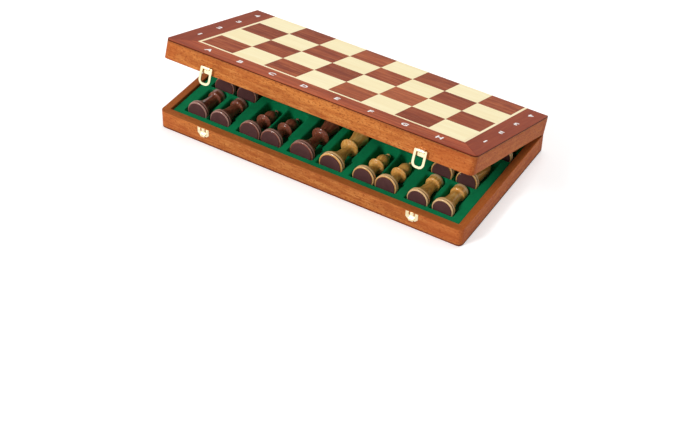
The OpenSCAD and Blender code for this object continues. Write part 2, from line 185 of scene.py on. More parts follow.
class Paint:
    """A material, or the world, under construction."""

    def __init__(self, name: str, world: bool = False) -> None:
        """Starts an empty node tree.

        Args:
            name: the material's name.
            world: whether it is the world instead.
        """
        self.material = (bpy.data.worlds if world else bpy.data.materials).new(name)
        self.material.use_nodes = True
        self.tree = self.material.node_tree
        self.tree.nodes.clear()

    def node(
        self,
        kind: str,
        settings: Optional[dict[str, object]] = None,
        sockets: Optional[dict[Union[int, str], object]] = None,
    ) -> bpy.types.Node:
        """Adds a node, sets it and feeds its sockets.

        Args:
            kind: the node type without its prefix.
            settings: properties of the node, set first.
            sockets: values or wires of its inputs, by place or name.

        Returns:
            The node.
        """
        node = self.tree.nodes.new("ShaderNode" + kind)
        for key, value in (settings or {}).items():
            setattr(node, key, value)
        for key, value in (sockets or {}).items():
            socket = node.inputs[key]
            if isinstance(value, Wire):
                self.tree.links.new(value.socket, socket)
            elif isinstance(value, bpy.types.NodeSocket):
                self.tree.links.new(value, socket)
            elif socket.type == "RGBA" and len(value) == 3:
                socket.default_value = (*value, 1.0)
            else:
                socket.default_value = value
        return node

    def mix(self, factor: Value, a: Value, b: Value, blend: str = "MIX") -> Wire:
        """Mixes two colours.

        Args:
            factor: share of b.
            a: first colour.
            b: second colour.
            blend: the blend mode.

        Returns:
            The colour.
        """
        settings = {"data_type": "RGBA", "blend_type": blend}
        node = self.node("Mix", settings, {0: factor, 6: a, 7: b})
        return Wire(self, node.outputs[2])

    def vector(self, operation: str, a: Value, b: Value) -> Wire:
        """Works on vectors.

        Args:
            operation: the node's operation.
            a: first vector.
            b: second vector.

        Returns:
            The vector.
        """
        node = self.node("VectorMath", {"operation": operation}, {0: a, 1: b})
        return Wire(self, node.outputs[0])

    def place(self, on_lid: bool) -> Wire:
        """Gives the place on the closed case, also for a piece that lies in the raised lid.

        Args:
            on_lid: whether the piece is part of the lid.

        Returns:
            Object coordinates in metres, turned back for the lid.
        """
        here = self.node("TexCoord").outputs["Object"]
        if not on_lid:
            return Wire(self, here)
        back = CASE.lid_matrix().inverted()
        sockets = {
            "Vector": here,
            "Location": tuple(back.to_translation()),
            "Rotation": (math.radians(CASE.lid_open), 0.0, 0.0),
        }
        return Wire(self, self.node("Mapping", {"vector_type": "POINT"}, sockets).outputs[0])

    def noise(self, at: Wire, scale: float, detail: float = 2.0, rough: float = 0.5) -> Wire:
        """Adds a noise.

        Args:
            at: the place.
            scale: features per metre.
            detail: octaves.
            rough: share of the fine octaves.

        Returns:
            A value around one half.
        """
        sockets = {"Vector": at, "Scale": scale, "Detail": detail, "Roughness": rough}
        return Wire(self, self.node("TexNoise", {}, sockets).outputs["Fac"])

    def stretched(self, at: Wire, grain: Grain, share: float) -> Wire:
        """Squeezes one direction of space, which draws a pattern out along the grain.

        Args:
            at: the place.
            grain: the direction.
            share: what is left of it.

        Returns:
            The place for the pattern.
        """
        keep = [1.0, 1.0, 1.0]
        keep[grain.value] = share
        return self.vector("MULTIPLY", at, tuple(keep))

    def parts(self, vector: Wire) -> tuple[Wire, Wire, Wire]:
        """Splits a vector into X, Y and Z."""
        node = self.node("SeparateXYZ", {}, {0: vector})
        return tuple(Wire(self, out) for out in node.outputs)

    def join(self, x: Value, y: Value, z: Value) -> Wire:
        """Joins X, Y and Z into a vector."""
        return Wire(self, self.node("CombineXYZ", {}, {0: x, 1: y, 2: z}).outputs[0])

    def bump(self, height: Wire, strength: float, distance: float) -> Wire:
        """Turns a height into a normal.

        Args:
            height: the relief.
            strength: how strongly it shows.
            distance: its depth in metres.

        Returns:
            The normal.
        """
        sockets = {"Strength": strength, "Distance": distance, "Height": height}
        return Wire(self, self.node("Bump", {}, sockets).outputs[0])

    def shade(self, **sockets: object) -> bpy.types.Material:
        """Ends the material with one Principled shader.

        Args:
            sockets: its inputs, with underscores for spaces.

        Returns:
            The finished material.
        """
        named = {key.replace("_", " "): value for key, value in sockets.items()}
        shader = self.node("BsdfPrincipled", {}, named)
        self.node("OutputMaterial", {}, {0: shader.outputs[0]})
        return self.material


# Finishes


@dataclass(frozen=True)
class Timber:
    """A lacquered wood: broad figure, streaks along the grain and fine pores."""

    name: str
    slot: str
    base: Colour
    dark: Colour
    light: Colour
    gloss: float = 0.42
    coat: float = 0.04
    sheen: float = 0.03
    figure: float = 1.0
    pores: float = 0.4
    blotch: float = 0.0
    per_square: float = 0.0
    end_grain: float = 0.0
    flecks: float = 0.0
    # Share of painted shade on the rails' inner faces and on the rim's top face.
    rim: float = 0.0
    face_line: float = 0.0
    # Share of painted shade on strips whose grain runs along Y.
    painted_grain_shade: float = 0.0
    red_patch: float = 0.0
    stretch: float = 0.07
    pore_stretch: float = 0.0245
    ripple: float = 0.35
    fleck_stretch: float = 0.42

    def paint(self, grain: Grain, on_lid: bool = False) -> bpy.types.Material:
        """Builds the material for one direction of the fibres.

        Args:
            grain: the direction of the fibres on the closed case.
            on_lid: whether the piece lies in the raised lid.

        Returns:
            The material.
        """
        p = Paint(f"{self.name}_{grain.name.lower()}{'_lid' if on_lid else ''}")
        here = p.place(on_lid)
        x, y, z = p.parts(here)
        luck: Value = 0.5
        if self.per_square:
            side = CASE.square * MM
            cell = p.join((x / side).floor(), ((CASE.half_depth * MM - y) / side).floor(), 0.0)
            dice = p.node("TexWhiteNoise", {"noise_dimensions": "3D"}, {0: cell})
            luck = Wire(p, dice.outputs["Value"])
            here = p.vector("ADD", here, Wire(p, dice.outputs["Color"]))
        fibre = p.stretched(here, grain, self.stretch)
        broad = p.noise(fibre, 70, 3, 0.55)
        streak = p.noise(fibre, 330, 5, 0.62)
        fine = p.noise(p.stretched(here, grain, self.pore_stretch), 1500, 3, 0.6)
        colour = p.mix(broad.ramp(0.36, 0.68) * self.figure * 0.8, self.base, self.dark)
        colour = p.mix(streak.ramp(0.45, 0.72) * self.figure * 0.75, colour, self.light)
        colour = p.mix(streak.ramp(0.52, 0.3) * self.figure * 0.55, colour, self.dark)
        if self.blotch:
            patch = p.noise(p.stretched(here, grain, self.ripple), 160, 4, 0.7)
            colour = p.mix(patch.ramp(0.5, 0.7) * self.blotch, colour, self.dark)
            colour = p.mix(patch.ramp(0.5, 0.32) * self.blotch * 0.7, colour, self.light)
        colour = p.mix(fine.ramp(0.56, 0.7) * self.pores, colour, self.dark)
        if self.per_square:
            colour = p.mix(luck * self.per_square, colour, self.dark)
            colour = p.mix((1 - luck).ramp(0.6, 1.0) * self.per_square * 0.6, colour, self.light)
        if self.end_grain:
            facing = Wire(p, p.node("TexCoord").outputs["Normal"])
            across = p.parts(facing)[grain.value].size().ramp(0.75, 0.95)
            rings = p.noise(here, 900, 3, 0.6).ramp(0.35, 0.7)
            colour = p.mix(across * self.end_grain, colour, p.mix(rings, self.dark, self.base))
        if self.flecks:
            fleck = p.noise(p.stretched(here, grain, self.fleck_stretch), 680, 3, 0.7)
            colour = p.mix(fleck.ramp(0.52, 0.64) * self.flecks, colour, self.dark)
        if self.red_patch:
            red = (self.base[0] * 0.78, self.base[1] * 0.42, self.base[2] * 0.5)
            patch = p.noise(here, 17, 2, 0.5) * 0.6 + (x.size() * 5.3) ** 3 * 0.45
            colour = p.mix(patch.ramp(0.3, 0.62) * self.red_patch, colour, red)
        # Painted shade: strips along Y are darkened, standing in for a sheen that changes with the
        # grain's direction.
        if self.painted_grain_shade and grain is Grain.ALONG_Y:
            colour = p.mix(self.painted_grain_shade, colour, self.dark)
        # Painted shade: the rails' inner faces and the rim's top face are darkened where shade
        # falls on them.
        if self.rim:
            inside_x = x.size().ramp(CASE.inner_x + 0.0004, CASE.inner_x + 0.0002)
            inside_y = y.size().ramp(CASE.inner_y + 0.0004, CASE.inner_y + 0.0002)
            top = (z - CASE.half_height * MM).size().ramp(0.0006, 0.0004)
            painted_rim_shade = (inside_x * inside_y + top).ramp(0.0, 1.0)
            colour = p.mix(painted_rim_shade * self.rim, colour, p.mix(0.35, self.dark, self.base))
        if self.face_line:
            away = (z - CASE.half_height * MM).size()
            line = away.ramp((CASE.half_height - 1.9) * MM, (CASE.half_height - 1.6) * MM)
            colour = p.mix(line * self.face_line, colour, self.dark)
        return p.shade(
            Base_Color=colour,
            Roughness=self.gloss + fine * 0.08 + streak * 0.05,
            Specular_IOR_Level=self.sheen,
            Coat_Weight=self.coat,
            Coat_Roughness=0.16,
            Normal=p.bump(fine * 0.6 + streak * 0.4, 0.12, 0.00012),
        )


@dataclass(frozen=True)
class TurnedWood:
    """Polished wood of the men: growth rings cut by the lathe, fine fibres, gloss lacquer."""

    name: str
    slot: str
    base: Colour
    dark: Colour
    light: Colour
    gloss: float = 0.2
    rings: float = 0.6

    def paint(self, grain: Grain) -> bpy.types.Material:
        """Builds the material for one direction of the lying men.

        Args:
            grain: the direction of their fibres.

        Returns:
            The material.
        """
        p = Paint(f"{self.name}_{grain.name.lower()}")
        here = p.place(False)
        fibre = p.stretched(here, grain, 0.07)
        warp = p.noise(fibre, 60, 2, 0.5)
        x, y, z = p.parts(fibre)
        growth = ((x * 0.6 + z * 1.0 + y * 0.9) * 2100 + warp * 26).sine() * 0.5 + 0.5
        streak = p.noise(fibre, 420, 4, 0.6)
        fine = p.noise(p.stretched(here, grain, 0.03), 2600, 2, 0.6)
        colour = p.mix(growth ** 2.2 * self.rings, self.base, self.dark)
        colour = p.mix(streak.ramp(0.45, 0.7) * 0.6, colour, self.light)
        colour = p.mix(fine.ramp(0.55, 0.72) * 0.3, colour, self.dark)
        # Painted light: a pale painted highlight on the ring edges (crest) and a dark painted shade
        # in the grooves (crease).
        pale, painted_crease_shade = tuple(c * 0.75 + 0.22 for c in self.light), tuple(c * 0.3 for c in self.dark)
        for name, share, tint in (("crest", 0.55, pale), ("crease", 0.9, painted_crease_shade)):
            mark = Wire(p, p.node("Attribute", {"attribute_name": name}).outputs["Fac"])
            colour = p.mix(mark * share, colour, tint)
        return p.shade(
            Base_Color=colour,
            Roughness=self.gloss + streak * 0.06,
            Specular_IOR_Level=0.12,
            Coat_Weight=0.4,
            Coat_Roughness=0.06,
            Normal=p.bump(fine, 0.08, 0.0001),
        )


@dataclass(frozen=True)
class Velour:
    """Flocked or woven pile: fine fleck, brushed shade and a soft edge glow."""

    name: str
    slot: str
    base: Colour
    shade: Colour
    glow: float = 0.25
    pile: float = 2600.0

    def paint(self, on_lid: bool = False) -> bpy.types.Material:
        """Builds the material.

        Args:
            on_lid: whether the piece lies in the raised lid.

        Returns:
            The material.
        """
        p = Paint(self.name)
        here = p.place(on_lid)
        brushed = p.noise(here, 42, 4, 0.65)
        fleck = p.noise(here, self.pile, 2, 0.7)
        colour = p.mix(brushed.ramp(0.35, 0.7) * 0.45, self.base, self.shade)
        colour = p.mix(fleck.ramp(0.42, 0.62) * 0.35, colour, self.shade)
        tint = tuple(min(1.0, c * 2.2 + 0.1) for c in self.base)
        return p.shade(
            Base_Color=colour,
            Roughness=0.93 - fleck * 0.08,
            Specular_IOR_Level=0.15,
            Sheen_Weight=self.glow,
            Sheen_Roughness=0.45,
            Sheen_Tint=(*tint, 1.0),
            Normal=p.bump(fleck * 0.7 + brushed * 0.3, 0.5, 0.0003),
        )


@dataclass(frozen=True)
class Brass:
    """Bright stamped brass with faint rolling marks."""

    name: str = "polished_brass"
    slot: str = "brass"
    base: Colour = (0.90, 0.82, 0.55)
    worn: Colour = (0.80, 0.66, 0.36)
    gloss: float = 0.2

    def paint(self) -> bpy.types.Material:
        """Returns the material."""
        p = Paint(self.name)
        here = p.place(False)
        cloud = p.noise(here, 260, 3, 0.6)
        marks = p.noise(p.vector("MULTIPLY", here, (1.0, 0.08, 0.08)), 3800, 2, 0.6)
        return p.shade(
            Base_Color=p.mix(cloud.ramp(0.45, 0.75) * 0.6, self.base, self.worn),
            Metallic=1.0,
            Roughness=self.gloss + cloud * 0.12 + marks * 0.06,
            Normal=p.bump(marks, 0.1, 0.00005),
        )


@dataclass(frozen=True)
class Print:
    """White screen printing of the board's letters and numbers."""

    name: str = "white_print"
    slot: str = "border_veneer"
    base: Colour = (0.86, 0.83, 0.80)
    thin: Colour = (0.62, 0.50, 0.46)

    def paint(self) -> bpy.types.Material:
        """Returns the material."""
        p = Paint(self.name)
        cover = p.noise(p.place(False), 1800, 3, 0.6)
        colour = p.mix(cover.ramp(0.6, 0.8) * 0.5, self.base, self.thin)
        return p.shade(Base_Color=colour, Roughness=0.42 + cover * 0.1, Coat_Weight=0.2)


RAIL_WOOD = Timber(
    "mahogany_rail", "rail_wood", (0.60, 0.195, 0.043), (0.27, 0.055, 0.014), (0.80, 0.36, 0.10),
    coat=0.05, figure=0.6, pores=0.45, blotch=0.45, end_grain=0.75, flecks=0.8, rim=0.6,
    red_patch=0.42,
)
BORDER_VENEER = Timber(
    "mahogany_border", "border_veneer", (0.42, 0.090, 0.034), (0.20, 0.036, 0.016),
    (0.56, 0.155, 0.058), figure=0.8, flecks=0.25, painted_grain_shade=0.55, red_patch=0.2,
)
DARK_VENEER = Timber(
    "mahogany_squares", "dark_veneer", (0.40, 0.088, 0.032), (0.19, 0.034, 0.014),
    (0.62, 0.19, 0.068), blotch=0.45, per_square=0.6, flecks=0.2,
)
LIGHT_VENEER = Timber(
    "maple_squares", "light_veneer", (0.97, 0.86, 0.545), (0.90, 0.75, 0.43), (0.99, 0.92, 0.66),
    figure=0.6, pores=0.2, per_square=0.2,
)
STRINGING = Timber(
    "maple_stringing", "stringing", (0.97, 0.84, 0.55), (0.86, 0.68, 0.40), (0.98, 0.88, 0.64),
    figure=0.5, pores=0.2,
)
CORE_EDGE = Timber(
    "stained_core", "core_wood", (0.50, 0.155, 0.038), (0.075, 0.012, 0.007),
    (0.62, 0.25, 0.08), gloss=0.45, figure=0.3, flecks=0.5, face_line=1.0,
)
DARK_MEN = TurnedWood(
    "walnut_men", "dark_men", (0.25, 0.066, 0.034), (0.095, 0.022, 0.013), (0.42, 0.14, 0.07),
    rings=0.45,
)
LIGHT_MEN = TurnedWood(
    "honey_men", "light_men", (0.86, 0.41, 0.09), (0.48, 0.16, 0.025), (0.98, 0.66, 0.26),
    rings=0.45,
)
GREEN_FLOCK = Velour("green_flock", "green_velour", (0.001, 0.26, 0.092), (0.001, 0.12, 0.042))
GREEN_CLOTH = Velour("green_cloth", "green_lining", (0.002, 0.17, 0.062), (0.001, 0.09, 0.032))
PLUM_FELT = Velour(
    "plum_felt", "plum_felt", (0.125, 0.050, 0.047), (0.055, 0.020, 0.020), glow=0.12, pile=1900.0
)
BRASS = Brass()
PRINT = Print()

# Modelling moves


class Bench:
    """Modelling moves that several pieces share, made with Blender's own operators."""

    @staticmethod
    def clear() -> None:
        """Leaves edit mode and selects nothing."""
        if bpy.context.object is not None and bpy.context.object.mode != "OBJECT":
            bpy.ops.object.mode_set(mode="OBJECT")
        bpy.ops.object.select_all(action="DESELECT")

    @staticmethod
    def take(piece: bpy.types.Object) -> bpy.types.Object:
        """Makes one piece the only selected and the active one."""
        Bench.clear()
        piece.select_set(True)
        bpy.context.view_layer.objects.active = piece
        return piece

    @staticmethod
    def latest(name: str) -> bpy.types.Object:
        """Names the object that the last operator added, and its mesh or curve."""
        piece = bpy.context.object
        piece.name = name
        piece.data.name = name
        return piece

    @staticmethod
    def put(name: str, data: bpy.types.ID) -> bpy.types.Object:
        """Names a mesh, lamp or camera and puts it into the scene as a new object."""
        data.name = name
        piece = bpy.data.objects.new(name, data)
        bpy.context.scene.collection.objects.link(piece)
        return piece

    @staticmethod
    def edit(piece: bpy.types.Object, kind: str = "VERT", everything: bool = True) -> None:
        """Enters edit mode.

        Args:
            piece: what is edited.
            kind: VERT, EDGE or FACE.
            everything: whether all of it is selected at once.
        """
        Bench.take(piece)
        bpy.ops.object.mode_set(mode="EDIT")
        bpy.ops.mesh.select_mode(type=kind)
        if everything:
            bpy.ops.mesh.select_all(action="SELECT")

    @staticmethod
    def pick_faces(piece: bpy.types.Object, test: Callable[[Vector, Vector], bool]) -> None:
        """Enters edit mode with the faces selected that pass a test.

        Args:
            piece: what is edited.
            test: gets a face's centre and normal.
        """
        Bench.take(piece)
        mesh = piece.data
        for verts in (mesh.vertices, mesh.edges):
            verts.foreach_set("select", [False] * len(verts))
        for face in mesh.polygons:
            face.select = test(face.center, face.normal)
        bpy.ops.object.mode_set(mode="EDIT")
        bpy.ops.mesh.select_mode(type="FACE")

    @staticmethod
    def weld(piece: bpy.types.Object, distance: float = 1e-6) -> None:
        """Merges doubles and turns all faces outwards."""
        Bench.edit(piece)
        bpy.ops.mesh.remove_doubles(threshold=distance)
        bpy.ops.mesh.normals_make_consistent(inside=False)
        bpy.ops.object.mode_set(mode="OBJECT")

    @staticmethod
    def modify(piece: bpy.types.Object, kind: str, **settings: object) -> None:
        """Adds a modifier and applies it.

        Args:
            piece: what it works on.
            kind: the modifier's type.
            settings: its properties.
        """
        Bench.take(piece)
        modifier = piece.modifiers.new(kind.title(), kind)
        for key, value in settings.items():
            setattr(modifier, key, value)
        bpy.ops.object.modifier_apply(modifier=modifier.name)

    @staticmethod
    def cut(piece: bpy.types.Object, cutter: bpy.types.Object, how: str = "DIFFERENCE") -> None:
        """Cuts with a solid, or joins it on, and throws the tool away.

        Args:
            piece: what is cut.
            cutter: the tool.
            how: the Boolean operation.
        """
        Bench.modify(piece, "BOOLEAN", operation=how, solver="MANIFOLD", object=cutter)
        bpy.data.objects.remove(cutter)

    @staticmethod
    def saw(piece: bpy.types.Object, place: Matrix) -> None:
        """Cuts a box out of a piece.

        Args:
            piece: what is cut.
            place: what turns a cube of 1 m at the origin into the box.
        """
        Bench.clear()
        bpy.ops.mesh.primitive_cube_add(size=1, location=(0, 0, 0))
        box = Bench.latest("saw")
        box.data.transform(place)
        Bench.cut(piece, box)

    @staticmethod
    def ease(piece: bpy.types.Object, width: float, segments: int = 2, angle: float = 30) -> None:
        """Rounds the sharp edges and smooths the rest.

        Args:
            piece: what is rounded.
            width: width of the rounding in millimetres.
            segments: faces across it.
            angle: edges sharper than this are rounded, in degrees.
        """
        Bench.modify(
            piece, "BEVEL", width=width * MM, segments=segments, limit_method="ANGLE",
            angle_limit=math.radians(angle), harden_normals=False,
        )
        Bench.smooth(piece, max(angle, 50))
        Bench.modify(piece, "WEIGHTED_NORMAL", keep_sharp=True, weight=60)

    @staticmethod
    def smooth(piece: bpy.types.Object, angle: float = 35) -> None:
        """Shades smooth, but keeps edges sharper than the angle in degrees."""
        Bench.take(piece)
        bpy.ops.object.shade_smooth_by_angle(angle=math.radians(angle))

    @staticmethod
    def from_node(node: str, name: str) -> bpy.types.Object:
        """Copies a CAD node into a clean mesh of its own.

        Args:
            node: the node's name.
            name: the new piece's name.

        Returns:
            The copy, with flat faces in one piece.
        """
        piece = Bench.put(name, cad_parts[node].data.copy())
        piece.data.materials.clear()
        Bench.edit(piece)
        bpy.ops.mesh.customdata_custom_splitnormals_clear()
        bpy.ops.mesh.remove_doubles(threshold=2e-6)
        bpy.ops.mesh.dissolve_limited(angle_limit=math.radians(0.6))
        bpy.ops.object.mode_set(mode="OBJECT")
        return piece

    @staticmethod
    def loose_parts(piece: bpy.types.Object) -> list[bpy.types.Object]:
        """Splits a mesh into its closed solids.

        Args:
            piece: the mesh.

        Returns:
            One object for each solid.
        """
        Bench.edit(piece)
        bpy.ops.mesh.separate(type="LOOSE")
        bpy.ops.object.mode_set(mode="OBJECT")
        return list(bpy.context.selected_objects)

    @staticmethod
    def middle(piece: bpy.types.Object) -> Vector:
        """Returns the middle of a mesh's box."""
        corners = [Vector(c) for c in piece.bound_box]
        return sum(corners, Vector()) / 8

    @staticmethod
    def join(pieces: Sequence[bpy.types.Object], name: str) -> bpy.types.Object:
        """Joins meshes into one piece."""
        Bench.take(pieces[0])
        for other in pieces[1:]:
            other.select_set(True)
        bpy.ops.object.join()
        return Bench.latest(name)

    @staticmethod
    def outline(
        name: str, points: Sequence[tuple], plane: Callable[[float, float], Vector],
        closed: bool, steps: int,
    ) -> bpy.types.Object:
        """Draws a smooth line through points and makes it a mesh.

        Args:
            name: the name of the line.
            points: pairs in millimetres, with a third entry where the line has a corner.
            plane: puts a pair into space.
            closed: whether it returns to its start.
            steps: straight pieces between two points.

        Returns:
            A mesh of edges.
        """
        Bench.clear()
        bpy.ops.curve.primitive_bezier_curve_add(location=(0, 0, 0))
        drawn = Bench.latest(name)
        drawn.data.dimensions = "3D"
        spline = drawn.data.splines[0]
        spline.bezier_points.add(len(points) - len(spline.bezier_points))
        for knot, point in zip(spline.bezier_points, points):
            knot.co = plane(point[0], point[1]) * MM
            corner = "VECTOR" if len(point) > 2 else "AUTO"
            knot.handle_left_type = corner
            knot.handle_right_type = corner
        spline.use_cyclic_u = closed
        spline.resolution_u = steps
        drawn.data.resolution_u = steps
        bpy.ops.object.convert(target="MESH")
        return Bench.latest(name)

    @staticmethod
    def turn(
        name: str, points: Sequence[tuple], around: int = 40, steps: int = 3
    ) -> bpy.types.Object:
        """Turns an outline on the lathe, about the Z axis.

        Args:
            name: the piece's name.
            points: radius and height in millimetres, with a third entry at a crisp corner.
            around: steps of a full turn.
            steps: straight pieces between two points of the outline.

        Returns:
            A closed solid standing on z = 0.
        """
        work = Bench.outline(name, points, lambda r, h: Vector((r, 0, h)), False, steps)
        for vert in work.data.vertices:
            vert.co.x = max(vert.co.x, 0.0)
        work.data.vertices[0].co.x = 0.0
        work.data.vertices[-1].co.x = 0.0
        Bench.edit(work)
        bpy.ops.mesh.spin(
            steps=around, angle=math.tau, center=(0, 0, 0), axis=(0, 0, 1), use_auto_merge=True
        )
        bpy.ops.object.mode_set(mode="OBJECT")
        Bench.weld(work, 1e-6)
        return work


def hang(
    piece: bpy.types.Object, body: Body, slot: str, material: bpy.types.Material,
    *nodes: str, place: Optional[Matrix] = None,
) -> bpy.types.Object:
    """Dresses a finished piece, puts its place into its mesh and hangs it on its body.

    Args:
        piece: the finished piece.
        body: what carries it.
        slot: the record's material slot; not used.
        material: its finish.
        nodes: the CAD nodes it stands for.
        place: where it goes, if it was modelled at the origin.

    Returns:
        The piece.
    """
    Bench.clear()
    if place is not None:
        piece.data.transform(place)
        if place.determinant() < 0:
            Bench.weld(piece, 1e-7)
    piece.data.materials.clear()
    piece.data.materials.append(material)
    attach(piece, body.value)
    if nodes:
        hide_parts(*nodes)
    log.info("%s: %d faces on %s", piece.name, len(piece.data.polygons), body.value)
    return piece


# Sub-assemblies


@dataclass
class CaseHalf:
    """One veneered half of the case: panel, border, stringing, squares, letters and rails."""

    side: str
    body: Body
    edge_round: float = 0.35
    rail_round: float = 0.55
    letter_height: float = 10.4
    letter_weight: float = 0.42
    print_thickness: float = 0.04
    material_cache: dict[tuple, bpy.types.Material] = field(default_factory=dict)

    @property
    def is_lid(self) -> bool:
        """Whether this is the lid."""
        return self.body is Body.LID

    def wood(self, timber: Timber, grain: Grain) -> bpy.types.Material:
        """Gives a wood of this half, made once for each direction of its grain.

        Args:
            timber: the finish.
            grain: its direction.

        Returns:
            The material.
        """
        key = (timber.name, grain)
        if key not in self.material_cache:
            self.material_cache[key] = timber.paint(grain, self.is_lid)
        return self.material_cache[key]

    def lift_underside(self, piece: bpy.types.Object, by: float) -> None:
        """Raises the lowest face, so that the printing stays inside the case's box.

        Args:
            piece: a veneer strip of the lower half.
            by: millimetres.
        """
        for vert in piece.data.vertices:
            if vert.co.z < 0.01 * MM:
                vert.co.z = by * MM

    def build_panel(self) -> None:
        """The plywood core with its stained edge."""
        node = f"{self.side}_panel"
        piece = Bench.from_node(node, f"{node}_core")
        Bench.ease(piece, 0.3)
        hang(piece, self.body, CORE_EDGE.slot, self.wood(CORE_EDGE, Grain.ALONG_X), node)

    def build_strips(self, part: str, timber: Timber) -> None:
        """Border or stringing: three strips mitred at the front corners.

        Args:
            part: border or stringing.
            timber: its finish.
        """
        node = f"{self.side}_{part}"
        whole = Bench.from_node(node, node + "_strip")
        for strip in Bench.loose_parts(whole):
            x = Bench.middle(strip).x
            place = "front" if abs(x) < 0.05 else ("left" if x < 0 else "right")
            strip.name = strip.data.name = f"{node}_{place}"
            if not self.is_lid:
                self.lift_underside(strip, 0.05)
            Bench.ease(strip, 0.08 if part == "stringing" else self.edge_round * 0.6, 2)
            grain = Grain.ALONG_X if place == "front" else Grain.ALONG_Y
            hang(strip, self.body, timber.slot, self.wood(timber, grain), node)

    def build_squares(self) -> None:
        """The sixteen squares of each wood."""
        for tone, timber in (("dark", DARK_VENEER), ("light", LIGHT_VENEER)):
            node = f"{self.side}_{tone}_squares"
            piece = Bench.from_node(node, f"{node}_veneer")
            Bench.ease(piece, 0.06, 1)
            hang(piece, self.body, timber.slot, self.wood(timber, Grain.ALONG_X), node)

    def build_rails(self) -> None:
        """The four solid rails, eased along every edge."""
        for place in ("front", "back", "left", "right"):
            node = f"{self.side}_{place}_rail"
            piece = Bench.from_node(node, f"{node}_wood")
            Bench.ease(piece, self.rail_round, 3, 28)
            grain = Grain.ALONG_X if place in ("front", "back") else Grain.ALONG_Y
            hang(piece, self.body, RAIL_WOOD.slot, self.wood(RAIL_WOOD, grain), node)

    def letter(self, sign: str, x: float, y: float, turned: bool) -> bpy.types.Object:
        """Prints one character on the board face.

        Args:
            sign: the character.
            x: its middle on the closed case, in millimetres.
            y: the same along Y.
            turned: whether it stands on its head.

        Returns:
            A flat mesh in the plane of the board face, in its place on the closed case.
        """
        Bench.clear()
        bpy.ops.object.text_add(location=(0, 0, 0))
        text = Bench.latest(f"sign_{sign}")
        text.data.body = sign
        text.data.size = self.letter_height * MM
        text.data.offset = self.letter_weight * MM
        text.data.extrude = self.print_thickness / 2 * MM
        text.data.resolution_u = 4
        text.data.align_x = "CENTER"
        text.data.align_y = "CENTER"
        bpy.ops.object.convert(target="MESH")
        mesh = Bench.latest(f"sign_{sign}")
        Bench.weld(mesh, 1e-7)
        mesh.data.transform(Matrix.Translation(-Bench.middle(mesh)))
        if turned:
            mesh.data.transform(Matrix.Rotation(math.pi, 4, "Z"))
        if self.is_lid:
            height = 2 * CASE.half_height + self.print_thickness / 2 + 0.005
        else:
            mesh.data.transform(Matrix.Rotation(math.pi, 4, "X"))
            height = self.print_thickness / 2 + 0.003
        mesh.data.transform(Matrix.Translation(Vector((x, y, height)) * MM))
        return mesh

    def build_letters(self) -> None:
        """Letters along the front and numbers up both sides, one printing for the half."""
        signs = []
        side_x = CASE.half_width - CASE.border / 2
        front_y = -CASE.half_depth + CASE.border / 2
        for i, sign in enumerate("ABCDEFGH"):
            signs.append(self.letter(sign, (i - 3.5) * CASE.square, front_y, not self.is_lid))
        first_y = -CASE.half_depth + CASE.border + CASE.stringing + CASE.square / 2
        for j in range(4):
            sign = str(j + 1) if self.is_lid else str(8 - j)
            y = first_y + j * CASE.square
            signs.append(self.letter(sign, -side_x, y, False))
            signs.append(self.letter(sign, side_x, y, True))
        piece = Bench.join(signs, f"{self.side}_letters")
        place = CASE.lid_matrix() if self.is_lid else Matrix.Identity(4)
        hang(piece, self.body, PRINT.slot, PRINT.paint(), place=place)

    def build(self) -> None:
        """Makes every piece of this half."""
        self.build_panel()
        self.build_strips("border", BORDER_VENEER)
        self.build_strips("stringing", STRINGING)
        self.build_squares()
        self.build_rails()
        self.build_letters()


class Kind(Enum):
    """The six kinds of men."""

    KING = "king"
    QUEEN = "queen"
    BISHOP = "bishop"
    KNIGHT = "knight"
    ROOK = "rook"
    PAWN = "pawn"


@dataclass(frozen=True)
class Pattern:
    """What a man is turned from, and how he lies in his nest. Sizes in millimetres.

    outline holds radius and height, with a third entry at a crisp corner.
    """

    outline: tuple[tuple[float, ...], ...]
    length: float
    foot: float
    foot_height: float
    head_height: float
    head: float
    neck: float

    def tilt(self) -> float:
        """Returns how far the head drops when he rests on foot and head, in radians."""
        return math.atan((self.foot - self.head) / (self.head_height - self.foot_height))

    def floor(self) -> float:
        """Returns the height of the floor he lies on, with his foot's middle at the men's axis."""
        t = self.tilt()
        return CASE.men_axis - 0.3 - self.foot_height * math.sin(t) - self.foot * math.cos(t)

    def nest_length(self) -> float:
        """Returns the length he takes up in the tray."""
        t = self.tilt()
        return self.length * math.cos(t) + (self.foot + self.head) * math.sin(t)

    def lying(self, x: float, y: float, turn: float) -> Matrix:
        """Gives the place of a man in the tray.

        Args:
            x: where his foot begins, in millimetres.
            y: the same along Y.
            turn: his turn in the plane of the tray in degrees; 0 puts the foot to the front.

        Returns:
            The matrix in metres that lays down a man standing at the origin.
        """
        t = self.tilt()
        spot = Matrix.Translation(Vector((x, y, CASE.men_axis)) * MM)
        swing = Matrix.Rotation(math.radians(turn), 4, "Z")
        rest = Matrix.Translation(Vector((0.0, CASE.felt + self.foot * math.sin(t), 0.0)) * MM)
        return spot @ swing @ rest @ Matrix.Rotation(-math.pi / 2 - t, 4, "X")


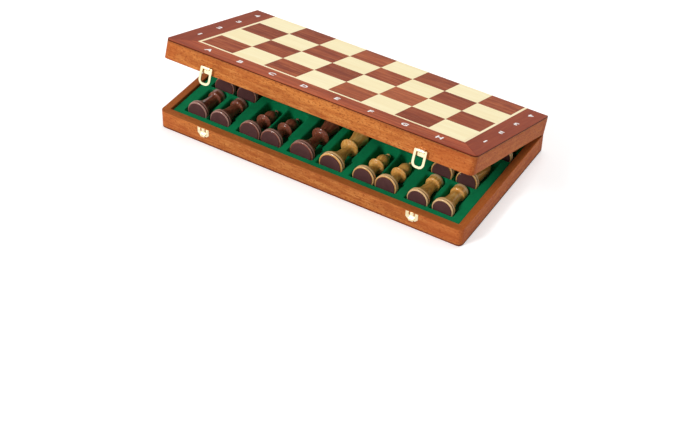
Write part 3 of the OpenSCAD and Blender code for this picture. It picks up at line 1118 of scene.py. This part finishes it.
PATTERNS: dict[Kind, Pattern] = {
    Kind.KING: Pattern(
        (
            (0, 0), (13.2, 0, 1), (14.1, 0.5), (14.5, 1.2), (14.25, 1.95, 1), (12.35, 2.15, 1),
            (12.35, 3.4, 1), (14.25, 3.6, 1), (14.5, 4.8), (14.1, 6.8), (12.9, 8.6),
            (11.4, 9.6, 1), (11.7, 10.2), (11.5, 11.1), (10.4, 11.8, 1), (8.7, 15), (6.9, 20.5),
            (5.7, 27), (5.3, 32.5), (5.8, 36), (6.9, 37.6, 1), (8.9, 38.4), (10.5, 39.6),
            (10.7, 40.3), (10.0, 41.4), (8.0, 42.4, 1), (8.5, 43.2), (8.2, 44.2), (7.1, 44.9, 1),
            (7.1, 47.5), (8.0, 55), (9.2, 60.8), (9.6, 62.2, 1), (9.9, 63.0), (9.8, 64.8),
            (8.4, 66.5), (5.6, 67.9), (3.6, 68.6, 1), (3.0, 69.5), (3.5, 70.5), (5.0, 71.9),
            (5.6, 74), (4.9, 76.2), (2.9, 77.6), (0, 78),
        ),
        78, 14.5, 4.2, 64, 9.8, 10.7,
    ),
    Kind.QUEEN: Pattern(
        (
            (0, 0), (13.0, 0, 1), (13.9, 0.5), (14.3, 1.2), (14.05, 1.9, 1), (12.15, 2.1, 1),
            (12.15, 3.3, 1), (14.05, 3.5, 1), (14.3, 4.6), (13.9, 6.6), (12.7, 8.4),
            (11.2, 9.3, 1), (11.5, 9.9), (11.3, 10.8), (10.1, 11.5, 1), (8.1, 15), (6.4, 20),
            (5.4, 26), (5.2, 29.5), (5.7, 31.6), (6.8, 32.8, 1), (8.6, 33.5), (10.1, 34.4),
            (10.3, 35.1), (9.6, 36.2), (7.6, 37.1, 1), (8.1, 37.8), (7.8, 38.7), (6.5, 39.4, 1),
            (6.3, 43), (6.8, 49), (8.3, 55.5), (9.7, 59.8), (9.9, 61.2), (9.5, 62.2, 1),
            (8.6, 62.4, 1), (8.0, 61.6), (6.8, 61.2), (5.8, 61.9), (4.4, 63.2), (2.8, 64.0, 1),
            (2.4, 64.5), (2.8, 65.4), (1.9, 66.6), (0, 67),
        ),
        67, 14.3, 4.1, 61.8, 9.9, 10.3,
    ),
    Kind.BISHOP: Pattern(
        (
            (0, 0), (11.9, 0, 1), (12.7, 0.5), (13.0, 1.1), (12.75, 1.75, 1), (10.85, 1.95, 1),
            (10.85, 3.1, 1), (12.75, 3.3, 1), (13.0, 4.3), (12.6, 6.0), (11.4, 7.7), (9.9, 8.6, 1),
            (10.2, 9.2), (10.0, 10.0), (8.8, 10.7, 1), (6.8, 15), (5.4, 20), (4.9, 24),
            (5.2, 26.2), (6.2, 27.4, 1), (7.8, 28.0), (9.1, 28.9), (9.2, 29.6), (8.5, 30.6),
            (6.4, 31.4, 1), (6.8, 32.0), (6.4, 32.8), (5.3, 33.4, 1), (5.7, 35.4), (6.9, 39.4),
            (7.2, 42.2), (6.5, 46.2), (4.6, 50.4), (2.5, 52.9), (1.9, 53.8, 1), (2.6, 54.8),
            (2.8, 56.0), (1.8, 57.5), (0, 58),
        ),
        58, 13.0, 3.8, 42.2, 7.2, 9.2,
    ),
    Kind.KNIGHT: Pattern(
        (
            (0, 0), (11.7, 0, 1), (12.5, 0.5), (12.75, 1.1), (12.45, 1.75, 1), (10.55, 1.95, 1),
            (10.55, 3.1, 1), (12.45, 3.3, 1), (12.75, 4.3), (12.3, 6.0), (11.2, 7.4),
            (10.4, 8.1, 1), (10.7, 8.7), (10.5, 9.5), (9.9, 10.2, 1), (9.4, 11.2), (8.0, 12.0, 1),
            (0, 12.2),
        ),
        52, 12.75, 3.8, 52, 3.6, 12.0,
    ),
    Kind.ROOK: Pattern(
        (
            (0, 0), (11.4, 0, 1), (12.2, 0.5), (12.5, 1.1), (12.25, 1.75, 1), (10.35, 1.95, 1),
            (10.35, 3.1, 1), (12.25, 3.3, 1), (12.5, 4.3), (12.1, 5.8), (11.2, 7.2),
            (10.2, 7.8, 1), (10.5, 8.4), (10.3, 9.2), (9.3, 9.9, 1), (8.1, 14), (7.0, 20),
            (6.4, 27), (6.2, 30.6), (6.6, 32.4), (7.3, 33.2, 1), (8.3, 33.8), (8.6, 34.8),
            (8.5, 35.6, 1), (8.6, 38), (8.7, 42.2, 1), (8.3, 43.0, 1), (6.5, 43.0, 1), (6.3, 42.4),
            (6.2, 41.0, 1), (0, 40.7),
        ),
        43, 12.5, 3.8, 42.2, 8.7, 8.7,
    ),
    Kind.PAWN: Pattern(
        (
            (0, 0), (10.0, 0, 1), (10.7, 0.4), (11.0, 0.95), (10.75, 1.5, 1), (8.85, 1.7, 1),
            (8.85, 2.7, 1), (10.75, 2.9, 1), (11.0, 3.8), (10.6, 5.4), (9.6, 6.9), (8.6, 7.5, 1),
            (8.8, 8.0), (8.6, 8.7), (7.5, 9.4, 1), (5.9, 13), (4.7, 18), (4.2, 22), (4.4, 24.4),
            (5.2, 25.8, 1), (6.5, 26.5), (7.1, 27.6), (6.9, 28.4), (5.6, 29.2), (4.2, 29.8, 1),
            (3.9, 30.6), (4.6, 32.0), (5.8, 34.4), (6.2, 36.8), (5.7, 39.4), (4.2, 41.5),
            (2.2, 42.7), (0, 43),
        ),
        43, 11.0, 3.4, 36.8, 6.2, 7.1,
    ),
}


@dataclass(frozen=True)
class Seat:
    """One man of a side: name, kind, where his foot begins in millimetres, turn and node."""

    name: str
    kind: Kind
    x: float
    y: float
    turn: float
    node: str


@dataclass
class KnightHead:
    """The carved horse on a knight's foot, facing +X. Sizes in millimetres."""

    voxel: float = 0.5
    blank: float = 7.0
    edge_share: float = 0.34
    rounding: float = 4.2
    profile: tuple[tuple[float, ...], ...] = (
        (-8.7, 10.8, 1), (8.5, 10.8, 1), (9.0, 15.0), (8.4, 20.0), (6.4, 25.2), (4.1, 29.2),
        (3.3, 31.4), (4.3, 33.4), (7.2, 34.2), (9.6, 35.0), (11.3, 36.9), (11.5, 39.4),
        (10.0, 41.6), (7.9, 44.2), (6.0, 46.8), (4.4, 49.2), (2.9, 51.8, 1), (0.9, 49.7, 1),
        (-2.4, 49.6), (-5.4, 47.2), (-7.8, 42.8), (-9.2, 36.5), (-9.5, 29.5), (-9.3, 22.0),
        (-8.9, 15.0),
    )
    widths: tuple[tuple[float, float], ...] = (
        (10.8, 6.8), (20.0, 6.2), (30.0, 5.2), (37.0, 4.6), (45.0, 4.2), (52.0, 3.4)
    )

    nape: tuple[tuple[float, float], ...] = (
        (10.8, -8.8), (15, -8.9), (22, -9.3), (29.5, -9.5), (36.5, -9.2), (42.8, -7.8),
        (47.2, -5.4), (49.6, -2.4)
    )

    def inside(self, at: np.ndarray, line: np.ndarray) -> np.ndarray:
        """Measures how far points lie from the outline of the horse.

        Args:
            at: points, X and Z in millimetres.
            line: corners of the closed outline.

        Returns:
            The distance of each point.
        """
        start, end = line, np.roll(line, -1, axis=0)
        step = end - start
        best = np.full(len(at), 1e9)
        for a, d in zip(start, step):
            t = np.clip(((at - a) @ d) / max(d @ d, 1e-9), 0, 1)
            best = np.minimum(best, np.hypot(*(at - a - t[:, None] * d).T))
        return best

    def carve(self) -> bpy.types.Object:
        """Saws the blank to its outline, then rounds and cuts it.

        Returns:
            The carved head as one closed solid.
        """
        head = Bench.outline(
            "knight_head", self.profile, lambda x, z: Vector((x, -self.blank, z)), True, 5
        )
        line = np.array([(v.co.x, v.co.z) for v in head.data.vertices]) / MM
        Bench.edit(head)
        bpy.ops.mesh.edge_face_add()
        bpy.ops.mesh.extrude_region_move(
            TRANSFORM_OT_translate={"value": (0, 2 * self.blank * MM, 0)}
        )
        bpy.ops.object.mode_set(mode="OBJECT")
        Bench.weld(head)
        head.data.remesh_voxel_size = self.voxel * MM
        head.data.remesh_voxel_adaptivity = 0.0
        Bench.take(head)
        bpy.ops.object.voxel_remesh()
        co = np.array([v.co for v in head.data.vertices]) / MM
        head.data.vertices.foreach_set("co", (self.shape(co, line) * MM).astype(np.float32).ravel())
        head.data.update()
        Bench.modify(head, "SMOOTH", factor=0.5, iterations=3)
        return head

    def shape(self, co: np.ndarray, line: np.ndarray) -> np.ndarray:
        """Moves the blank's points to the carved form.

        Args:
            co: points of the blank in millimetres.
            line: its outline.

        Returns:
            The carved points.
        """
        x, y, z = co.T.copy()
        depth = self.inside(np.column_stack((x, z)), line)
        full = np.interp(z, *zip(*self.widths))
        bulge = np.sqrt(np.clip(1 - (1 - np.clip(depth / self.rounding, 0, 1)) ** 2, 0, 1))
        wide = full * (self.edge_share + (1 - self.edge_share) * bulge)
        back = np.interp(z, *zip(*self.nape))
        above_foot = np.clip((z - 17) / 5, 0, 1)
        mane = np.clip(1 - np.abs(x - back - 2.4) / 3.2, 0, 1) * above_foot
        wide -= 0.75 * np.sqrt(mane) * (0.5 + 0.5 * np.sin((z * 0.95 - x * 0.75) * 2.35))
        wide += 0.35 * np.exp(-(((x - back - 4.9) / 0.8) ** 2)) * above_foot
        eye = np.hypot(x - 4.4, z - 43.4)
        wide += 0.8 * np.exp(-((eye / 0.85) ** 2)) - 0.6 * np.exp(-(((eye - 1.7) / 0.55) ** 2))
        cheek = np.hypot(x - 3.2, z - 39.0)
        wide -= 0.7 * (np.exp(-(((cheek - 4.4) / 0.6) ** 2)) * (x > 0.5) * (z < 42))
        wide -= 0.8 * np.exp(-((np.hypot(x - 9.9, z - 38.6) / 0.7) ** 2))
        mouth = np.abs(z - 36.4 - (x - 9) * 0.1)
        wide -= 0.8 * np.exp(-((mouth / 0.45) ** 2)) * (x > 8.0)
        y = y / self.blank * np.clip(wide, 0.6, None)
        ears = np.clip((z - 48.2) / 2.0, 0, 1) * (x > 0)
        z = z - 2.6 * ears * np.exp(-((y / 0.75) ** 2))
        return np.column_stack((x, y, z))


@dataclass
class MenSet:
    """The men of one side with their felts, all lying in the tray."""

    tone: str
    side: int
    wood: TurnedWood
    columns: tuple[float, ...] = (0.46, 1.448, 2.13, 3.095, 3.835)
    front_y: float = -74.52
    queen_x: float = 107.2
    pawn_pitch: float = 22.1
    felt_share: float = 0.88

    def seats(self) -> Iterator[Seat]:
        """Yields every man of the side."""
        t, s, front = self.tone, self.side, self.front_y
        second, queen, rear = front + 52, front + 93, front + 111
        king, *others = (s * c * CASE.square for c in self.columns)
        yield Seat(f"{t}_king_turned", Kind.KING, king, front, 0, f"{t}_king")
        yield Seat(f"{t}_queen_turned", Kind.QUEEN, s * self.queen_x, queen, s * 90, f"{t}_queen")
        for word, b, r in (("inner", 0, 2), ("outer", 1, 3)):
            b_node, r_node, k_node = (f"{t}_{kind}_{word}" for kind in ("bishop", "rook", "knight"))
            yield Seat(f"{b_node}_turned", Kind.BISHOP, others[b], front, 0, b_node)
            yield Seat(f"{r_node}_turned", Kind.ROOK, others[r], front, 0, r_node)
            yield Seat(f"{k_node}_carved", Kind.KNIGHT, others[r], second, 0, k_node)
        far = rear + CASE.felt + PATTERNS[Kind.PAWN].nest_length()
        for i in range(8):
            x = s * (i + 0.5) * self.pawn_pitch
            back = (i + (s > 0)) % 2 == 1
            row = f"{t}_pawns_feet_{'back' if back else 'front'}"
            foot_y, turn = (far, 180) if back else (rear, 0)
            yield Seat(f"{t}_pawn_{i + 1}_turned", Kind.PAWN, x, foot_y, turn, row)

    def hollow_foot(self, man: bpy.types.Object, kind: Kind) -> None:
        """Cuts into the underside of a bishop's or rook's foot, where the felt hides it.

        These boxes were meant for the slot and the notches of the head. The last entry of
        their matrices is 0.001 and not 1, which takes them down to the foot.

        Args:
            man: the standing man.
            kind: which man he is.
        """
        if kind is Kind.BISHOP:
            cuts = [((9.0, 20.0, 1.1), (5.6, 0, 47.4), Matrix.Rotation(math.radians(-52), 4, "Y"))]
        else:
            turns = (Matrix.Rotation(math.radians(60 * i), 4, "Z") for i in range(3))
            cuts = [((20.0, 2.4, 3.0), (0, 0, 43.1), turn) for turn in turns]
        for size, at, turn in cuts:
            shift = Matrix.Translation(Vector(at) * MM)
            Bench.saw(man, shift @ turn @ Matrix.Diagonal(Vector((*size, 1.0)) * MM))

    def standing(self, kind: Kind) -> bpy.types.Object:
        """Makes one man standing at the origin.

        Args:
            kind: which man.

        Returns:
            The finished man, to be copied.
        """
        man = Bench.turn(f"{kind.value}_master", PATTERNS[kind].outline)
        if kind in (Kind.BISHOP, Kind.ROOK):
            self.hollow_foot(man, kind)
        if kind is Kind.KNIGHT:
            Bench.cut(man, KnightHead().carve(), "UNION")
        Bench.smooth(man, 38)
        self.mark_creases(man, 11.0 if kind is Kind.KNIGHT else 99.0)
        return man

    def mark_creases(self, man: bpy.types.Object, up_to: float, reach: float = 1.5) -> None:
        """Notes where the outline dips between two rings, for painted shade in the dips and a
        painted highlight on the ring edges beside them.

        Args:
            man: the standing man.
            up_to: height to which he is turned, in millimetres.
            reach: how far off the two rings may be.
        """
        co = np.array([v.co for v in man.data.vertices]) / MM
        radius, height = np.hypot(co[:, 0], co[:, 1]), np.round(co[:, 2], 2)
        rings = np.unique(height)
        widest = np.array([radius[height == ring].max() for ring in rings])
        step = rings[None, :] - height[:, None]
        above = np.where((step > 0) & (step < reach), widest, 0).max(1)
        below = np.where((step < 0) & (step > -reach), widest, 0).max(1)
        dip = np.clip((np.minimum(above, below) - radius - 0.15) / 0.9, 0, 1) * (height < up_to)
        deepest = np.array([dip[height == ring].max() for ring in rings])
        # Painted highlight: ring edges next to a groove are marked to be painted paler.
        crest = np.where(np.abs(step) < reach + 0.2, deepest, 0).max(1) * (1 - dip) ** 2
        for name, values in (("crease", dip), ("crest", crest)):
            layer = man.data.attributes.new(name, "FLOAT", "POINT")
            layer.data.foreach_set("value", values.astype(np.float32))

    def felt(self, kind: Kind) -> bpy.types.Object:
        """Makes the felt under one man, its rim softened.

        Args:
            kind: which man.

        Returns:
            A disc below z = 0.
        """
        r, t = PATTERNS[kind].foot * self.felt_share, CASE.felt
        edge = ((r - 0.8, -t), (r - 0.25, -t * 0.85), (r, -t * 0.5), (r - 0.05, -0.02, 1))
        disc = Bench.turn(f"{kind.value}_felt_master", ((0, -t), *edge, (0, 0)))
        Bench.smooth(disc, 50)
        return disc

    def build(self) -> None:
        """Makes, copies and lays down every man and his felt."""
        masters = {kind: self.standing(kind) for kind in Kind}
        felts = {kind: self.felt(kind) for kind in Kind}
        woods = {grain: self.wood.paint(grain) for grain in (Grain.ALONG_X, Grain.ALONG_Y)}
        felt = PLUM_FELT.paint()
        for seat in self.seats():
            place = PATTERNS[seat.kind].lying(seat.x, seat.y, seat.turn)
            grain = Grain.ALONG_X if abs(seat.turn) == 90 else Grain.ALONG_Y
            if seat.kind is Kind.KNIGHT and self.side > 0:
                place = place @ Matrix.Diagonal((-1.0, 1.0, 1.0, 1.0))
            man = Bench.put(seat.name, masters[seat.kind].data.copy())
            hang(man, Body.BASE, self.wood.slot, woods[grain], seat.node, place=place)
            disc = Bench.put(f"{seat.name.rsplit('_', 1)[0]}_felt", felts[seat.kind].data.copy())
            hang(disc, Body.BASE, PLUM_FELT.slot, felt, f"{self.tone}_men_felts", place=place)
        for master in (*masters.values(), *felts.values()):
            bpy.data.objects.remove(master)


@dataclass
class FlockedTray:
    """The formed green tray with a soft-edged nest for every man. Sizes in millimetres."""

    men: Sequence[MenSet]
    cell: float = 0.85
    slope: float = 1.9
    lip: float = 1.2
    softness: float = 3.4
    corner: float = 4.0

    def depth(self, kind: Kind, u: np.ndarray, v: np.ndarray) -> np.ndarray:
        """Measures how deep points lie inside the outline of one nest.

        Args:
            kind: whose nest.
            u: distance from the man's axis.
            v: distance behind the front of his foot.

        Returns:
            Distance inside the outline, negative outside.
        """
        pattern = PATTERNS[kind]
        wide, slim = pattern.foot + CASE.nest_gap, pattern.neck + CASE.nest_gap + 0.4
        length = pattern.nest_length()
        reach = 0.2 * length + 3
        first, last = -CASE.nest_gap, length + CASE.felt + CASE.nest_gap
        blend = np.clip((v - reach) / ((wide - slim) * 1.3 + 1e-6), 0, 1)
        blend = blend * blend * (3 - 2 * blend)
        side = wide + (slim - wide) * blend - np.abs(u)
        ends = np.minimum(v - first, last - v)
        round_at = np.where(v > length / 2, self.corner, 1.2)
        a, b = np.clip(round_at - side, 0, None), np.clip(round_at - ends, 0, None)
        return np.where((a > 0) & (b > 0), round_at - np.hypot(a, b), np.minimum(side, ends))

    def heights(self, x: np.ndarray, y: np.ndarray) -> np.ndarray:
        """Gives the height of the tray's face.

        Args:
            x: places in millimetres.
            y: places in millimetres.

        Returns:
            Heights in millimetres.
        """
        top = CASE.insert_top
        sunk = np.zeros_like(x)
        for men in self.men:
            for seat in men.seats():
                turn = math.radians(seat.turn)
                dx, dy = x - seat.x, y - seat.y
                u = dx * math.cos(turn) + dy * math.sin(turn)
                v = dy * math.cos(turn) - dx * math.sin(turn)
                inside = self.depth(seat.kind, u, v)
                soft = np.clip((v - 9) / 9, 0, 1)
                soft = self.softness * soft * soft * (3 - 2 * soft)
                t = np.clip((inside + self.lip + soft * 0.55) / (self.slope + soft), 0, 1)
                deep = top - PATTERNS[seat.kind].floor()
                sunk = np.maximum(sunk, deep * t**3 * (t * (6 * t - 15) + 10))
        edge = np.minimum(
            CASE.half_width - CASE.rail - CASE.insert_gap - np.abs(x),
            CASE.half_depth - CASE.rail - CASE.insert_gap - np.abs(y),
        )
        roll = 1.3 * np.clip(1 - edge / 1.7, 0, 1) ** 1.5
        swell = 0.12 * np.sin(x * 0.045 + 1.0) * np.sin(y * 0.07)
        return top - roll - sunk + swell * np.clip(1 - sunk / 3, 0, 1) - 0.12

    def build(self) -> None:
        """Presses the nests into a fine grid and closes it below."""
        wide = 2 * (CASE.half_width - CASE.rail - CASE.insert_gap)
        deep = 2 * (CASE.half_depth - CASE.rail - CASE.insert_gap)
        Bench.clear()
        bpy.ops.mesh.primitive_grid_add(
            x_subdivisions=round(wide / self.cell), y_subdivisions=round(deep / self.cell), size=1
        )
        tray = Bench.latest("flocked_tray")
        tray.data.transform(Matrix.Diagonal((wide * MM, deep * MM, 1.0, 1.0)))
        co = np.empty(len(tray.data.vertices) * 3, np.float32)
        tray.data.vertices.foreach_get("co", co)
        co = co.reshape(-1, 3).astype(float) / MM
        co[:, 2] = self.heights(co[:, 0], co[:, 1])
        tray.data.vertices.foreach_set("co", (co * MM).astype(np.float32).ravel())
        tray.data.update()
        Bench.edit(tray, "FACE")
        bpy.ops.mesh.region_to_loop()
        bpy.ops.mesh.extrude_edges_move(TRANSFORM_OT_translate={"value": (0, 0, -0.001)})
        bpy.ops.object.mode_set(mode="OBJECT")
        for vert in tray.data.vertices:
            if vert.select:
                vert.co.z = CASE.insert_bottom * MM
        Bench.take(tray)
        bpy.ops.object.mode_set(mode="EDIT")
        bpy.ops.mesh.edge_face_add()
        bpy.ops.object.mode_set(mode="OBJECT")
        Bench.weld(tray, 1e-7)
        Bench.smooth(tray, 60)
        hang(tray, Body.BASE, GREEN_FLOCK.slot, GREEN_FLOCK.paint(), "insert")


@dataclass
class LidLining:
    """The cloth-covered card glued under the lid's panel."""

    def build(self) -> None:
        """Copies the card and softens its edges."""
        card = Bench.from_node("lid_lining", "lid_lining_cloth")
        Bench.ease(card, 0.2)
        hang(card, Body.LID, GREEN_CLOTH.slot, GREEN_CLOTH.paint(True), "lid_lining")


@dataclass
class Brassware:
    """Hinges, catches, screws and nails. Sizes in millimetres."""

    leaf_round: float = 0.12
    pin_round: float = 0.25
    plate_round: float = 0.16
    hook_round: float = 0.14
    loop_round: float = 0.3
    screw_round: float = 0.1
    nail_round: float = 0.22

    def stamp_hook(self, plate: bpy.types.Object) -> None:
        """Cuts the slits beside the tongue and takes off the lower corners.

        Args:
            plate: the hook plate in its place.
        """
        middle, top = Bench.middle(plate), max(v.co.z for v in plate.data.vertices)
        low = min(v.co.z for v in plate.data.vertices)
        for side in (-1, 1):
            for shape, at, turn in (
                ((1.6, 9.0, 8.4), (2.75 * side, top / MM), 0.0),
                ((4.4, 9.0, 4.4), (7.4 * side, low / MM), 45.0),
            ):
                spot = Vector((middle.x + at[0] * MM, middle.y, at[1] * MM))
                swing = Matrix.Rotation(math.radians(turn), 4, "Y")
                shape = Matrix.Diagonal(Vector((*shape, 1000.0)) * MM)
                Bench.saw(plate, Matrix.Translation(spot) @ swing @ shape)

    def build_refined(self, node: str, name: str, body: Body, width: float) -> None:
        """Finishes a stamped or rolled part with softened edges.

        Args:
            node: the CAD node.
            name: the piece's name.
            body: what carries it.
            width: width of the rounding.
        """
        piece = Bench.from_node(node, name)
        if node.endswith("_hook"):
            self.stamp_hook(piece)
        Bench.ease(piece, width, 3, 32)
        hang(piece, body, BRASS.slot, self.metal, node)

    def build_each(self, node: str, stem: str, body: Body, width: float) -> None:
        """Finishes every solid of a node of identical fasteners as a piece of its own.

        Args:
            node: the CAD node.
            stem: first part of the pieces' names.
            body: what carries them.
            width: width of the rounding.
        """
        whole = Bench.from_node(node, stem)
        parts = sorted(Bench.loose_parts(whole), key=lambda p: Bench.middle(p).x)
        for number, part in enumerate(parts, 1):
            part.name = part.data.name = f"{stem}_{number}"
            Bench.ease(part, width, 3, 32)
            hang(part, body, BRASS.slot, self.metal, node)

    def build(self) -> None:
        """Makes all the metal parts."""
        self.metal = BRASS.paint()
        for side, loop in (("left", Body.LEFT_LOOP), ("right", Body.RIGHT_LOOP)):
            for node, name, body, width in (
                (f"hinge_{side}_lower_leaf", f"hinge_{side}_lower", Body.BASE, self.leaf_round),
                (f"hinge_{side}_upper_leaf", f"hinge_{side}_upper", Body.LID, self.leaf_round),
                (f"hinge_{side}_pin", f"hinge_{side}_rod", Body.BASE, self.pin_round),
                (f"catch_{side}_plate", f"catch_{side}_barrel", Body.LID, self.plate_round),
                (f"catch_{side}_hook", f"catch_{side}_tongue", Body.BASE, self.hook_round),
                (f"catch_{side}_loop", f"catch_{side}_stirrup", loop, self.loop_round),
            ):
                self.build_refined(node, name, body, width)
        self.build_each("base_hinge_screws", "base_screw", Body.BASE, self.screw_round)
        self.build_each("lid_hinge_screws", "lid_screw", Body.LID, self.screw_round)
        self.build_each("plate_nails", "plate_nail", Body.LID, self.nail_round)
        self.build_each("hook_nails", "hook_nail", Body.BASE, self.nail_round)


@dataclass
class Studio:
    """White floor, soft lamps and the camera of the photograph."""

    eye: tuple[float, float, float] = (0.71352, -1.23834, 1.13186)
    right: tuple[float, float, float] = (0.85583106, 0.51693536, 0.01819412)
    down: tuple[float, float, float] = (0.35326481, -0.55844345, -0.75056305)
    ahead: tuple[float, float, float] = (-0.37783219, 0.64878252, -0.66054832)
    lens: float = 87.0225
    sky: float = 0.43
    floor_grey: float = 0.86
    floor_glow: float = 0.34
    far_glow: float = 0.35
    far_from: float = 0.8
    far_to: float = 2.4
    aim: tuple[float, float, float] = (0.0, 0.0, 0.03)

    def build_camera(self) -> None:
        """Sets the camera where the photograph was taken from."""
        data = bpy.data.cameras.new("photograph")
        camera = Bench.put("photograph", data)
        axes = (Vector(self.right), -Vector(self.down), -Vector(self.ahead))
        turn = Matrix(axes).transposed().to_4x4()
        camera.matrix_world = Matrix.Translation(Vector(self.eye)) @ turn
        data.sensor_width = 36.0
        data.lens = self.lens
        data.clip_start, data.clip_end = 0.05, 50.0
        bpy.context.scene.camera = camera

    def lamp(self, name: str, spot: Vector, size: float, power: float) -> None:
        """Adds a soft square lamp that looks at the case.

        Args:
            name: its name.
            spot: where it stands, in metres.
            size: its side.
            power: in watts.
        """
        data = bpy.data.lights.new(name, "AREA")
        data.size, data.energy = size, power
        lamp = Bench.put(name, data)
        aim = (Vector(self.aim) - spot).to_track_quat("-Z", "Y")
        lamp.matrix_world = Matrix.Translation(spot) @ aim.to_matrix().to_4x4()

    def build_floor(self) -> None:
        """A wide pale floor that keeps the case's shadow and is white to the camera."""
        Bench.clear()
        bpy.ops.mesh.primitive_plane_add(size=30, location=(0, 0, -0.0006))
        floor = Bench.latest("floor")
        p = Paint("white_floor")
        path = p.node("LightPath")
        seen = Wire(p, path.outputs["Is Camera Ray"]) + Wire(p, path.outputs["Is Glossy Ray"])
        x, y, _ = p.parts(Wire(p, p.node("TexCoord").outputs["Object"]))
        far = ((x * x + y * y) ** 0.5).ramp(self.far_from, self.far_to)
        matt = p.node("BsdfDiffuse", {}, {0: (self.floor_grey,) * 3})
        white = seen * (far * self.far_glow + self.floor_glow)
        glow = p.node("Emission", {}, {0: (1.0, 1.0, 1.0), 1: white})
        both = p.node("AddShader", {}, {0: matt.outputs[0], 1: glow.outputs[0]})
        p.node("OutputMaterial", {}, {0: both.outputs[0]})
        floor.data.materials.append(p.material)

    def build_sky(self) -> None:
        """Even light from all sides, white where the camera or a reflection sees it."""
        p = Paint("studio", world=True)
        bpy.context.scene.world = p.material
        path = p.node("LightPath").outputs
        rays = {0: path["Is Camera Ray"], 1: path["Is Glossy Ray"]}
        seen = p.node("Math", {"operation": "MAXIMUM"}, rays).outputs[0]
        level = p.node("MapRange", {}, {"Value": seen, "To Min": self.sky, "To Max": 1.0})
        sockets = {"Color": (1.0, 1.0, 1.0), "Strength": level.outputs[0]}
        ground = p.node("Background", {}, sockets)
        p.node("OutputWorld", {}, {0: ground.outputs[0]})

    def build(self) -> None:
        """Sets up the whole studio."""
        bpy.context.scene.view_settings.view_transform = "Standard"
        self.build_camera()
        self.build_sky()
        self.build_floor()
        self.lamp("front", Vector((-1.0, -2.1, 1.8)), 0.7, 46.0)
        self.lamp("top", Vector((0.2, 0.9, 2.5)), 1.4, 29.0)


def main() -> None:
    """Builds the case, its men, its metal parts and the studio."""
    logging.basicConfig(level=logging.INFO, format="%(name)s %(message)s")
    Studio().build()
    CaseHalf("base", Body.BASE).build()
    CaseHalf("lid", Body.LID).build()
    sides = (MenSet("dark", -1, DARK_MEN), MenSet("light", 1, LIGHT_MEN))
    FlockedTray(sides).build()
    for men in sides:
        men.build()
    LidLining().build()
    Brassware().build()
    Bench.clear()


if __name__ == "__main__":
    main()
